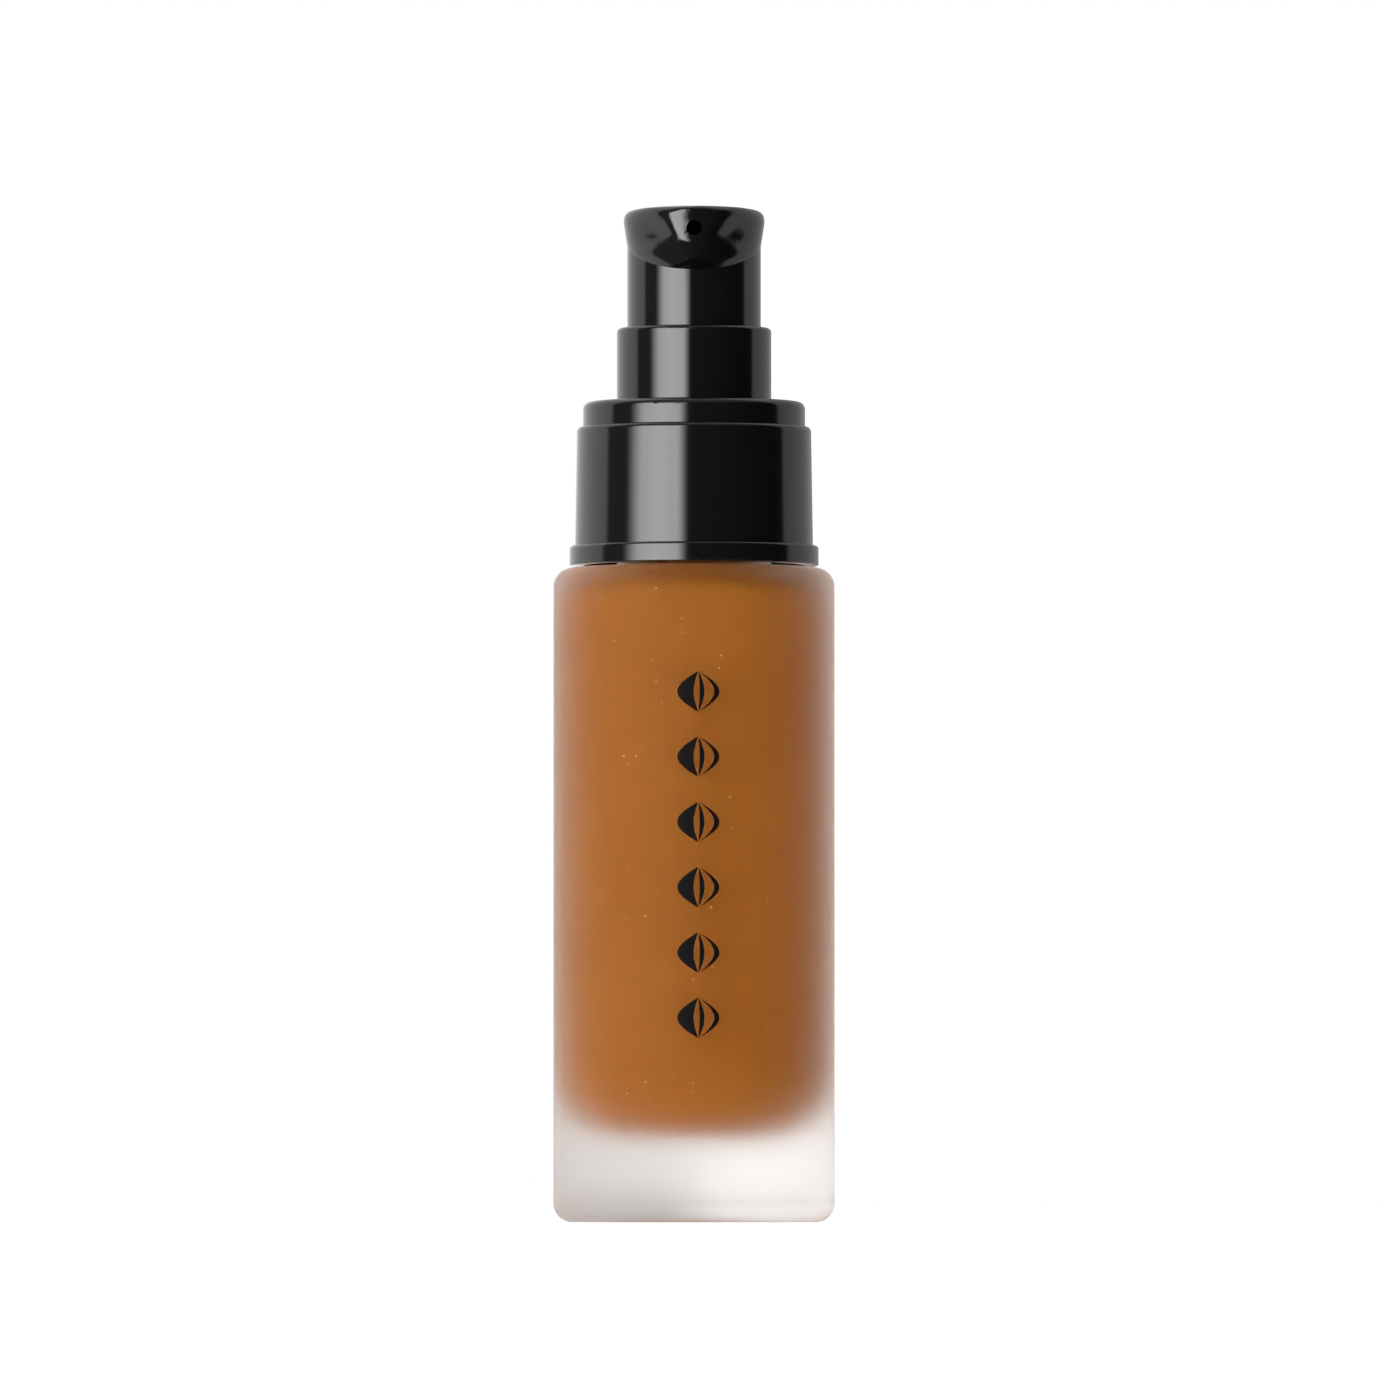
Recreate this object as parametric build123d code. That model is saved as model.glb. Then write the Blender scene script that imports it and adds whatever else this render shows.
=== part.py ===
from build123d import *
import os
from math import cos, exp, pi, radians, sin

# A 30 ml bottle of liquid foundation: thick frosted glass, closed by a screw-on treatment pump.
# Millimetres. +Z is up, the origin is the centre of the base and the nozzle points along -Y.

# How far a cutting tool runs on past the face that it cuts through.
OVERRUN = 1.0

# ---- Glass bottle ----
BOTTLE_R = 16.5
BOTTLE_WALL = 3.65
BASE_THICK = 9.6
BASE_CORNER_R = 2.2
SHOULDER_Z = 76.8
SHOULDER_CORNER_R = 2.2
SHOULDER_THICK = 1.3
CAVITY_R = BOTTLE_R - BOTTLE_WALL
CAVITY_TOP_Z = SHOULDER_Z - SHOULDER_THICK
CAVITY_FLOOR_CORNER_R = 8.2
CAVITY_TOP_CORNER_R = 3.0
PUNT_R = 12.3
PUNT_DEPTH = 1.2
PUNT_RAMP = 3.0
PUNT_CORNER_R = 2.5
FOOT_RING_R = 0.4

# ---- Neck finish, 20 mm across the threads ----
NECK_R = 9.0
NECK_BORE_R = 6.2
NECK_TOP_Z = 89.8
NECK_ROOT_R = 0.8
NECK_LIP_R = 0.5
THREAD_CREST_R = 9.85
THREAD_PITCH = 3.175
THREAD_TURNS = 1.5
THREAD_START_Z = 82.2
THREAD_ROOT_WIDTH = 2.0
THREAD_CREST_WIDTH = 1.0
THREAD_SINK = 0.3

# ---- Product ----
FILL_TOP_Z = 77.5
FILL_GAP = 0.02
FILL_PUMP_GAP = 0.3

# ---- Pump engine, fixed in the neck ----
GASKET_THICK = 1.0
FLANGE_BOTTOM_Z = NECK_TOP_Z + GASKET_THICK
FLANGE_THICK = 1.2
FLANGE_TOP_Z = FLANGE_BOTTOM_Z + FLANGE_THICK
FLANGE_R = 8.7
MOULDED_CORNER_R = 0.3
CHAMBER_R = 4.3
PUMP_TUBE_R = 5.4
SPRING_LEDGE_Z = 66.0
VALVE_LIP_Z = 64.7
VALVE_LIP_R = 1.4
VALVE_CHAMBER_R = 2.2
VALVE_SEAT_TOP_Z = 62.3
INLET_R = 0.8
SOCKET_TOP_Z = 60.0
SOCKET_BOTTOM_Z = 54.5
SOCKET_OUTER_R = 3.0
DIP_TUBE_R = 2.0
DIP_TUBE_BORE_R = 1.2
DIP_TUBE_BOTTOM_Z = 11.1
BALL_R = 1.6
BALL_GAP = 0.03

# ---- Stem, piston and spring, which the press moves ----
STEM_R = 2.5
STEM_BORE_R = 1.25
STEM_TOP_Z = 107.48
STEM_SHOULDER_Z = 89.05
STEM_SPIGOT_TOP_Z = 93.0
STEM_SPIGOT_R = 1.6
STEM_SPIGOT_BORE_R = 0.95
POST_R = 2.0
POST_FLANGE_R = 3.3
POST_FLANGE_Z = (81.6, 83.58)
POST_PILOT_R = 2.5
POST_PILOT_BOTTOM_Z = 80.0
PORT_R = 0.5
PORT_Z = 84.6
POST_BORE_BOTTOM_Z = 83.8
PISTON_Z = (83.6, 88.2)
PISTON_LIP_GAP = 0.02
PISTON_R = CHAMBER_R - PISTON_LIP_GAP
PISTON_BORE_GAP = 0.03
PISTON_BORE_R = POST_R + PISTON_BORE_GAP
PISTON_WAIST_R = 3.8
PISTON_LOW_LIP = (0.9, 1.3)
PISTON_HIGH_LIP = (0.8, 1.2)
PISTON_SEAT_R = 3.0
PISTON_POCKET_R = 2.6
PISTON_POCKET = (0.5, 1.6)
PISTON_BORE_START = 2.0
GUIDE_BOTTOM_Z = 88.6
GUIDE_GAP = 0.1
GUIDE_BORE_R = STEM_R + GUIDE_GAP
GUIDE_RIM_R = 5.8
GUIDE_RIM_THICK = 0.9
GUIDE_RIM_TOP_Z = FLANGE_TOP_Z + GUIDE_RIM_THICK
SPRING_MEAN_R = 3.1
SPRING_WIRE_R = 0.3
SPRING_COILS = 8

# ---- Screw closure and its ring, the seat for an overcap ----
ROOF_TOP_Z = 93.4
ROOF_R = 12.8
ROOF_HOLE_R = 6.2
SKIRT_BOTTOM_Z = 78.6
SKIRT_R = (10.1, 11.3)
CLOSURE_THREAD_CREST_R = 9.3
CLOSURE_THREAD_DROP = 1.45
CLOSURE_THREAD_ROOT_WIDTH = 1.4
CLOSURE_THREAD_CREST_WIDTH = 0.7
RIB_COUNT = 16
RIB_THICK = 0.9
RIB_R = 12.9
RIB_BOTTOM_Z = 79.6
RIB_SINK = 0.2
SNAP_Z = (83.9, 84.7)
SNAP_R = 13.1
RING_R = 13.05
RING_BORE_R = 11.5
RING_TOP_Z = 96.3
RING_CORNER_R = 0.85

# ---- Collar shell over the closure ----
SHELL_BOTTOM_Z = 77.1
SHELL_FOOT_TOP_Z = 79.4
SHELL_FOOT_R = 14.625
SHELL_LOW_R = 13.975
SHELL_TOP_R = 13.75
SHELL_BORE_R = 12.95
SHELL_LIP_R = 12.85
SHELL_LIP_Z = 92.6
SHELL_CORNER_R = 0.6
SNAP_GROOVE_R = 13.2
SNAP_GAP = 0.1
SHELL_RIM_R = 0.15
SHELL_STEP_R = 0.35

# ---- Guide tower, snapped into the ring ----
TOWER_R = 9.075
TOWER_BORE_R = 8.15
TOWER_TOP_Z = 105.0
TOWER_CORNER_R = 0.5
TOWER_FOOT_R = 11.4
TOWER_FOOT_THICK = 1.2
TOWER_PLUG_R = 10.4
TOWER_LIFT = 0.1
TOWER_BORE_LIP_R = 0.2
TOWER_RIM_R = 0.15

# ---- Actuator head and the core inside it ----
HEAD_R = 7.85
HEAD_SKIRT_BOTTOM_Z = 99.0
HEAD_BARREL_TOP_Z = 116.0
HEAD_CAVITY_R = 6.6
HEAD_CAVITY_TOP_Z = 117.6
HEAD_DISH_R = 60.0
HEAD_DISH_DEPTH = 0.3
NOZZLE_Z = 116.25
NOZZLE_R = 0.9
NOZZLE_LENGTH = 4.0
SPOUT_R = 1.3
SPOUT_END_Y = -8.2
CORE_R = 3.6
CORE_BOTTOM_Z = 100.5
CORE_SOCKET_TOP_Z = 107.5
CORE_SOCKET_GAP = 0.02
CORE_SOCKET_R = STEM_R + CORE_SOCKET_GAP
CORE_CHANNEL_R = 1.25
CORE_WEB_THICK = 0.8
CORE_WEB_GAP = 0.05
CORE_WEB_Z = (104.0, 116.8)
CORE_WEB_TURNS = (45, 135, 225, 315)

# The head flares out of its barrel into a short beak round the nozzle. Each slice is a flat cut, as
# (height at the sides, height in front, body radius, reach of the beak, half width of the beak in degrees).
# The lowest slices lie inside the barrel, which the flare leaves along a curved edge.
HEAD_SLICES = (
    (112.60, 110.80, 7.20, 0.00, 50),
    (113.20, 111.45, 7.42, 0.36, 50),
    (113.85, 112.15, 7.62, 0.84, 48),
    (114.50, 112.90, 7.80, 1.32, 43),
    (115.15, 113.65, 7.94, 1.75, 33),
    (115.80, 114.45, 8.04, 2.15, 25),
    (116.45, 115.30, 8.14, 2.40, 22),
    (117.15, 116.30, 8.25, 2.48, 24),
    (117.80, 117.30, 8.27, 2.40, 29),
    (118.33, 118.02, 8.10, 2.40, 34),
    (118.64, 118.46, 7.80, 2.40, 38),
    (118.83, 118.74, 7.30, 2.50, 44),
    (118.90, 118.87, 6.60, 2.60, 50),
)
HEAD_POINTS = 60
# How many degrees the points of a slice are drawn towards the beak, where it bends most.
HEAD_CROWDING = 36
# The tip of the beak is faced off to a wide cylinder round the nozzle, with a soft edge.
FACE_REACH = 10.05
FACE_R = 12.0
FACE_SOFTNESS = 0.2


def turned(*corners):
    """A solid of revolution about Z. Each corner is (radius, height) or (radius, height, fillet)."""
    points = [(corner[0], 0, corner[1]) for corner in corners]
    fillets = [corner[2] if len(corner) > 2 else 0 for corner in corners]
    outline = FilletPolyline(*points, radius=fillets, close=True)
    return revolve(make_face(outline.edges()), Axis.Z)


def rod(radius, bottom_z, top_z):
    """A round bar on the Z axis."""
    height = top_z - bottom_z
    return Pos(0, 0, bottom_z) * Cylinder(radius, height, align=(Align.CENTER, Align.CENTER, Align.MIN))


def rod_to_front(radius, from_y, to_y, z):
    """A round bar along Y, from one depth to another nearer the front."""
    length = from_y - to_y
    return Pos(0, (from_y + to_y) / 2, z) * Rot(90, 0, 0) * Cylinder(radius, length)


def thread_ridge(root_r, crest_r, root_width, crest_width, start_z):
    """One right-hand thread ridge, its root sunk into the wall that carries it."""
    path = Helix(THREAD_PITCH, THREAD_PITCH * THREAD_TURNS, root_r, center=(0, 0, start_z))
    corners = [
        (root_r, 0, start_z - root_width / 2),
        (crest_r, 0, start_z - crest_width / 2),
        (crest_r, 0, start_z + crest_width / 2),
        (root_r, 0, start_z + root_width / 2),
    ]
    profile = make_face(Polyline(*corners, close=True).edges())
    return sweep(profile, path=path, is_frenet=True)


def cavity(gap):
    """The space that the glass encloses below the neck, made smaller all round by a gap."""
    return turned(
        (0, BASE_THICK + gap),
        (CAVITY_R - gap, BASE_THICK + gap, CAVITY_FLOOR_CORNER_R),
        (CAVITY_R - gap, CAVITY_TOP_Z - gap, CAVITY_TOP_CORNER_R),
        (0, CAVITY_TOP_Z - gap),
    )


def glass_bottle():
    """Round bottle with a heavy base, a punt under it and a threaded neck."""
    outside = turned(
        (0, PUNT_DEPTH),
        (PUNT_R - PUNT_RAMP, PUNT_DEPTH, PUNT_CORNER_R),
        (PUNT_R, 0, FOOT_RING_R),
        (BOTTLE_R, 0, BASE_CORNER_R),
        (BOTTLE_R, SHOULDER_Z, SHOULDER_CORNER_R),
        (NECK_R, SHOULDER_Z, NECK_ROOT_R),
        (NECK_R, NECK_TOP_Z, NECK_LIP_R),
        (0, NECK_TOP_Z),
    )
    ridge = thread_ridge(
        NECK_R - THREAD_SINK, THREAD_CREST_R, THREAD_ROOT_WIDTH, THREAD_CREST_WIDTH, THREAD_START_Z
    )
    bore = rod(NECK_BORE_R, CAVITY_TOP_Z - OVERRUN, NECK_TOP_Z + OVERRUN)
    return outside + ridge - cavity(0) - bore


def pump_space():
    """The room that the pump body and the dip tube take in the product, with a gap round them."""
    gap = FILL_PUMP_GAP
    return turned(
        (0, DIP_TUBE_BOTTOM_Z - gap),
        (DIP_TUBE_R + gap, DIP_TUBE_BOTTOM_Z - gap),
        (DIP_TUBE_R + gap, SOCKET_BOTTOM_Z - gap),
        (SOCKET_OUTER_R + gap, SOCKET_BOTTOM_Z - gap),
        (SOCKET_OUTER_R + gap, SOCKET_TOP_Z - gap),
        (PUMP_TUBE_R + gap, VALVE_LIP_Z - gap),
        (PUMP_TUBE_R + gap, FILL_TOP_Z + OVERRUN),
        (0, FILL_TOP_Z + OVERRUN),
    )


def foundation_fill():
    """The liquid, up to a level in the neck and round the pump."""
    neck_part = rod(NECK_BORE_R - FILL_GAP, CAVITY_TOP_Z - OVERRUN, FILL_TOP_Z)
    return cavity(FILL_GAP) + neck_part - pump_space()


def neck_gasket():
    """Flat washer between the glass and the pump flange."""
    return rod(NECK_R, NECK_TOP_Z, FLANGE_BOTTOM_Z) - rod(PUMP_TUBE_R, NECK_TOP_Z, FLANGE_BOTTOM_Z)


def pump_body():
    """Moulded barrel: flange, metering chamber, spring ledge, ball seat and dip tube socket."""
    return turned(
        (CHAMBER_R, FLANGE_TOP_Z),
        (FLANGE_R, FLANGE_TOP_Z, MOULDED_CORNER_R),
        (FLANGE_R, FLANGE_BOTTOM_Z),
        (PUMP_TUBE_R, FLANGE_BOTTOM_Z),
        (PUMP_TUBE_R, VALVE_LIP_Z),
        (SOCKET_OUTER_R, SOCKET_TOP_Z),
        (SOCKET_OUTER_R, SOCKET_BOTTOM_Z),
        (DIP_TUBE_R, SOCKET_BOTTOM_Z),
        (DIP_TUBE_R, SOCKET_TOP_Z),
        (INLET_R, SOCKET_TOP_Z),
        (INLET_R, VALVE_SEAT_TOP_Z - VALVE_CHAMBER_R + INLET_R),
        (VALVE_CHAMBER_R, VALVE_SEAT_TOP_Z),
        (VALVE_CHAMBER_R, VALVE_LIP_Z),
        (VALVE_LIP_R, VALVE_LIP_Z),
        (VALVE_LIP_R, SPRING_LEDGE_Z),
        (CHAMBER_R, SPRING_LEDGE_Z),
    )


def stem_guide():
    """Plug pressed into the mouth of the barrel, which guides the stem and stops the piston."""
    return turned(
        (GUIDE_BORE_R, GUIDE_BOTTOM_Z),
        (CHAMBER_R, GUIDE_BOTTOM_Z),
        (CHAMBER_R, FLANGE_TOP_Z),
        (GUIDE_RIM_R, FLANGE_TOP_Z),
        (GUIDE_RIM_R, GUIDE_RIM_TOP_Z, MOULDED_CORNER_R),
        (GUIDE_BORE_R, GUIDE_RIM_TOP_Z, MOULDED_CORNER_R),
    )


def dip_tube():
    """Draws the product from just above the floor of the bottle."""
    outer = rod(DIP_TUBE_R, DIP_TUBE_BOTTOM_Z, SOCKET_TOP_Z)
    return outer - rod(DIP_TUBE_BORE_R, DIP_TUBE_BOTTOM_Z, SOCKET_TOP_Z)


def inlet_ball():
    """Steel ball that closes the inlet, resting on its cone."""
    seat_apex_z = VALVE_SEAT_TOP_Z - VALVE_CHAMBER_R
    ball_z = seat_apex_z + (BALL_R + BALL_GAP) * 2 ** 0.5
    return Pos(0, 0, ball_z) * Sphere(BALL_R)


def return_spring():
    """Compression spring between the ledge and the flange of the stem."""
    bottom_z = SPRING_LEDGE_Z + SPRING_WIRE_R
    height = POST_FLANGE_Z[0] - SPRING_WIRE_R - bottom_z
    path = Helix(height / SPRING_COILS, height, SPRING_MEAN_R, center=(0, 0, bottom_z))
    wire = Plane(origin=path @ 0, z_dir=path % 0) * Circle(SPRING_WIRE_R)
    return sweep(wire, path=path, is_frenet=True)


def piston():
    """Sliding seal with a lip at each end, open inside where the ports of the stem are."""
    low_z, high_z = PISTON_Z
    return turned(
        (PISTON_SEAT_R, low_z),
        (PISTON_R, low_z),
        (PISTON_R, low_z + PISTON_LOW_LIP[0]),
        (PISTON_WAIST_R, low_z + PISTON_LOW_LIP[1]),
        (PISTON_WAIST_R, high_z - PISTON_HIGH_LIP[1]),
        (PISTON_R, high_z - PISTON_HIGH_LIP[0]),
        (PISTON_R, high_z),
        (PISTON_BORE_R, high_z),
        (PISTON_BORE_R, low_z + PISTON_BORE_START),
        (PISTON_POCKET_R, low_z + PISTON_POCKET[1]),
        (PISTON_POCKET_R, low_z + PISTON_POCKET[0]),
    )


def stem_lower():
    """Post with the outlet ports; its flange is the outlet valve and carries the spring."""
    solid = turned(
        (0, POST_PILOT_BOTTOM_Z),
        (POST_PILOT_R, POST_PILOT_BOTTOM_Z, MOULDED_CORNER_R),
        (POST_PILOT_R, POST_FLANGE_Z[0]),
        (POST_FLANGE_R, POST_FLANGE_Z[0]),
        (POST_FLANGE_R, POST_FLANGE_Z[1]),
        (POST_R, POST_FLANGE_Z[1]),
        (POST_R, STEM_SHOULDER_Z),
        (STEM_SPIGOT_R, STEM_SHOULDER_Z),
        (STEM_SPIGOT_R, STEM_SPIGOT_TOP_Z),
        (0, STEM_SPIGOT_TOP_Z),
    )
    bore = rod(STEM_SPIGOT_BORE_R, POST_BORE_BOTTOM_Z, STEM_SPIGOT_TOP_Z)
    ports = rod_to_front(PORT_R, POST_R + OVERRUN, -POST_R - OVERRUN, PORT_Z)
    return solid - bore - ports - Rot(0, 0, 90) * ports


def stem_upper():
    """Hollow stem from the post up to the actuator."""
    return turned(
        (STEM_SPIGOT_R, STEM_SHOULDER_Z),
        (STEM_R, STEM_SHOULDER_Z),
        (STEM_R, STEM_TOP_Z, MOULDED_CORNER_R),
        (STEM_BORE_R, STEM_TOP_Z),
        (STEM_BORE_R, STEM_SPIGOT_TOP_Z),
        (STEM_SPIGOT_R, STEM_SPIGOT_TOP_Z),
    )


def screw_closure():
    """Threaded cap under the shell: roof over the pump flange, ribbed skirt and overcap ring."""
    body = turned(
        (SKIRT_R[0], SKIRT_BOTTOM_Z),
        (SKIRT_R[1], SKIRT_BOTTOM_Z),
        (SKIRT_R[1], FLANGE_TOP_Z),
        (ROOF_R, FLANGE_TOP_Z),
        (ROOF_R, ROOF_TOP_Z),
        (RING_R, ROOF_TOP_Z),
        (RING_R, RING_TOP_Z, RING_CORNER_R),
        (RING_BORE_R, RING_TOP_Z),
        (RING_BORE_R, ROOF_TOP_Z),
        (ROOF_HOLE_R, ROOF_TOP_Z),
        (ROOF_HOLE_R, FLANGE_TOP_Z),
        (SKIRT_R[0], FLANGE_TOP_Z),
    )
    rib_height = FLANGE_TOP_Z - RIB_BOTTOM_Z
    rib_root_r = SKIRT_R[1] - RIB_SINK
    plate = Box(2 * (ROOF_R - rib_root_r), RIB_THICK, rib_height)
    web = Pos(ROOF_R, 0, RIB_BOTTOM_Z + rib_height / 2) * plate
    web &= turned(
        (rib_root_r, RIB_BOTTOM_Z),
        (RIB_R, RIB_BOTTOM_Z),
        (RIB_R, SNAP_Z[0]),
        (SNAP_R, SNAP_Z[0]),
        (SNAP_R, SNAP_Z[1]),
        (RIB_R, SNAP_Z[1]),
        (RIB_R, FLANGE_TOP_Z),
        (rib_root_r, FLANGE_TOP_Z),
    )
    for index in range(RIB_COUNT):
        body += Rot(0, 0, 360 * index / RIB_COUNT) * web
    ridge = thread_ridge(
        SKIRT_R[0] + THREAD_SINK,
        CLOSURE_THREAD_CREST_R,
        CLOSURE_THREAD_ROOT_WIDTH,
        CLOSURE_THREAD_CREST_WIDTH,
        THREAD_START_Z - CLOSURE_THREAD_DROP,
    )
    return body + ridge


def collar_shell():
    """Gloss shell snapped up over the ribs of the closure, with a wider foot."""
    return turned(
        (SHELL_BORE_R, SHELL_BOTTOM_Z),
        (SHELL_FOOT_R, SHELL_BOTTOM_Z, SHELL_RIM_R),
        (SHELL_FOOT_R, SHELL_FOOT_TOP_Z, SHELL_STEP_R),
        (SHELL_LOW_R, SHELL_FOOT_TOP_Z),
        (SHELL_TOP_R, ROOF_TOP_Z, SHELL_CORNER_R),
        (SHELL_LIP_R, ROOF_TOP_Z),
        (SHELL_LIP_R, SHELL_LIP_Z),
        (SHELL_BORE_R, SHELL_LIP_Z),
        (SHELL_BORE_R, SNAP_Z[1] + SNAP_GAP),
        (SNAP_GROOVE_R, SNAP_Z[1] + SNAP_GAP),
        (SNAP_GROOVE_R, SNAP_Z[0] - SNAP_GAP),
        (SHELL_BORE_R, SNAP_Z[0] - SNAP_GAP),
    )


def guide_tower():
    """Tube that guides the actuator, on a foot let into the ring of the closure."""
    foot_bottom_z = RING_TOP_Z - TOWER_FOOT_THICK
    return turned(
        (TOWER_BORE_R, ROOF_TOP_Z + TOWER_LIFT),
        (TOWER_R, ROOF_TOP_Z + TOWER_LIFT),
        (TOWER_R, foot_bottom_z),
        (TOWER_PLUG_R, foot_bottom_z),
        (TOWER_PLUG_R, ROOF_TOP_Z),
        (TOWER_FOOT_R, ROOF_TOP_Z),
        (TOWER_FOOT_R, RING_TOP_Z, TOWER_RIM_R),
        (TOWER_R, RING_TOP_Z),
        (TOWER_R, TOWER_TOP_Z, TOWER_CORNER_R),
        (TOWER_BORE_R, TOWER_TOP_Z, TOWER_BORE_LIP_R),
    )


def head_slice(side_z, front_z, body_r, beak, spread):
    """One flat slice of the flared head, tilted down in front, with the beak as a faced-off bulge."""
    tilt = (side_z - front_z) / (body_r + beak)
    points = []
    for index in range(HEAD_POINTS):
        part = index / HEAD_POINTS
        turn = 360 * part - HEAD_CROWDING * sin(2 * pi * part)
        off_front = min(turn, 360 - turn)
        reach = body_r + beak * exp(-((off_front / spread) ** 2))
        x = reach * sin(radians(turn))
        y = -reach * cos(radians(turn))
        if y < 0:
            face_y = x**2 / (2 * FACE_R) - FACE_REACH
            y = (y + face_y + ((y - face_y) ** 2 + FACE_SOFTNESS**2) ** 0.5) / 2
        points.append((x, y, side_z + tilt * y))
    shares = [index / HEAD_POINTS for index in range(HEAD_POINTS + 1)]
    return make_face(Edge.make_spline(points, periodic=True, parameters=shares))


def actuator_head():
    """Hollow gloss shell that the finger presses, flared into the beak that holds the nozzle."""
    flare = loft([head_slice(*values) for values in HEAD_SLICES])
    body = flare + rod(HEAD_R, HEAD_SKIRT_BOTTOM_Z, HEAD_BARREL_TOP_Z)
    top_z = HEAD_SLICES[-1][0]
    dish = Pos(0, 0, top_z + HEAD_DISH_R - HEAD_DISH_DEPTH) * Sphere(HEAD_DISH_R)
    hollow = rod(HEAD_CAVITY_R, HEAD_SKIRT_BOTTOM_Z - OVERRUN, HEAD_CAVITY_TOP_Z)
    spout_bore = rod_to_front(SPOUT_R, -CORE_R, SPOUT_END_Y, NOZZLE_Z)
    outlet = rod_to_front(NOZZLE_R, SPOUT_END_Y, SPOUT_END_Y - NOZZLE_LENGTH, NOZZLE_Z)
    return body - dish - hollow - spout_bore - outlet


def actuator_core():
    """Insert that grips the stem and turns the flow forward into the nozzle."""
    post = rod(CORE_R, CORE_BOTTOM_Z, HEAD_CAVITY_TOP_Z)
    web_height = CORE_WEB_Z[1] - CORE_WEB_Z[0]
    web = Pos(HEAD_CAVITY_R / 2, 0, sum(CORE_WEB_Z) / 2) * Box(
        HEAD_CAVITY_R - 2 * CORE_WEB_GAP, CORE_WEB_THICK, web_height
    )
    for turn in CORE_WEB_TURNS:
        post += Rot(0, 0, turn) * web
    post += rod_to_front(SPOUT_R, 0, SPOUT_END_Y, NOZZLE_Z)
    post -= rod(CORE_SOCKET_R, CORE_BOTTOM_Z - OVERRUN, CORE_SOCKET_TOP_Z)
    post -= rod(CORE_CHANNEL_R, CORE_SOCKET_TOP_Z - OVERRUN, NOZZLE_Z)
    return post - rod_to_front(NOZZLE_R, 0, SPOUT_END_Y - OVERRUN, NOZZLE_Z)


PARTS = (
    glass_bottle,
    foundation_fill,
    neck_gasket,
    pump_body,
    stem_guide,
    dip_tube,
    inlet_ball,
    return_spring,
    piston,
    stem_lower,
    stem_upper,
    screw_closure,
    collar_shell,
    guide_tower,
    actuator_head,
    actuator_core,
)

os.makedirs("parts", exist_ok=True)
for make_part in PARTS:
    solid = make_part()
    export_step(solid, f"parts/{make_part.__name__}.step")
    print(f"{make_part.__name__:18} {solid.volume:10.1f} mm3")
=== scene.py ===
import math

import bmesh
import bpy
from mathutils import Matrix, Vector


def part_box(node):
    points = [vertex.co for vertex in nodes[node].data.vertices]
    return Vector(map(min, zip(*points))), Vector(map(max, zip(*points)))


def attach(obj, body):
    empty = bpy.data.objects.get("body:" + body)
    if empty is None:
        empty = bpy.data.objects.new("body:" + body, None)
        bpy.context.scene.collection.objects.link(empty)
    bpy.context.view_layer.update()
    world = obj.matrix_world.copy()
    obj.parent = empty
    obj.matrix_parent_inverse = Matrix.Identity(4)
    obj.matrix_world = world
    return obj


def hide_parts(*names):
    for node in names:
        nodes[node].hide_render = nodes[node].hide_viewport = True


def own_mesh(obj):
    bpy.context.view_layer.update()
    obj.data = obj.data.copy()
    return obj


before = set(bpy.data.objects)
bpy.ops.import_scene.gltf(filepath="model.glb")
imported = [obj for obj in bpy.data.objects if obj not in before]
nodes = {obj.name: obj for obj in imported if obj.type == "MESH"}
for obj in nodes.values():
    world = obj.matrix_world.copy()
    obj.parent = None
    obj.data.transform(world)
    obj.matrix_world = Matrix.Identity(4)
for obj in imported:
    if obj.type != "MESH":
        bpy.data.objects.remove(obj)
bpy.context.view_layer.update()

MM = 0.001


# ---------------------------------------------------------------------------
# Camera: a long lens on a low stand, just above the foot of the bottle and
# square to its printed front, tipped up a little to take in the whole height.
# ---------------------------------------------------------------------------

CAMERA_DISTANCE = 1.88
CAMERA_HEIGHT = 2.5 * MM
CAMERA_OFFSET = -0.53 * MM
AIM_HEIGHT = 62.54 * MM
FRAME_WIDTH = 161.95 * MM

camera = bpy.data.objects.new("camera", bpy.data.cameras.new("camera"))
bpy.context.scene.collection.objects.link(camera)
camera.location = (CAMERA_OFFSET, -CAMERA_DISTANCE, CAMERA_HEIGHT)
sight = Vector((CAMERA_OFFSET, 0, AIM_HEIGHT)) - camera.location
camera.rotation_euler = sight.to_track_quat("-Z", "Y").to_euler()
camera.data.sensor_width = 36
camera.data.lens = camera.data.sensor_width * sight.length / FRAME_WIDTH
camera.data.clip_start = 0.01
camera.data.clip_end = 50
bpy.context.scene.camera = camera


# ---------------------------------------------------------------------------
# Studio: a pale floor under a white surround. A tall strip light stands to the
# left of the camera and gives the one bright stripe on every glossy part.
# ---------------------------------------------------------------------------

FLOOR_SIZE = 6.0
FLOOR_COLOUR = "#f4f4f4"
FLOOR_GLOW = 0.40
# What the camera sees behind the bottle. The light that falls on it is set apart, below.
WHITE_SURROUND = 1.0
# Light round the horizon, as (degrees from the camera's side, radiance), with the left side negative.
SURROUND = (
    (-180, 1.0), (-97, 1.25), (-91, 0.20), (-60, 0.22), (-5, 0.14), (0, 0.10), (85, 0.03), (94, 0.05),
    (101, 0.70), (150, 0.55), (180, 0.30),
)
SURROUND_MOST = 1.25
STRIP = ((-71, 0.0), (-50, 0.88), (-36, 1.0), (-18, 0.92), (-5, 0.0))
STRIP_HEIGHT = ((-0.32, 0.0), (-0.14, 1.0), (0.36, 1.0), (0.60, 0.0))
STRIP_RADIANCE = 9.0
# A setting for looks, with no physical cause: the share of the strip's light that rays through glass get.
STRIP_THROUGH_GLASS = 0.5
# Soft top light, which only the upward faces see, from this far up the sky.
OVERHEAD = 0.55
OVERHEAD_FROM = 0.45


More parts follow.
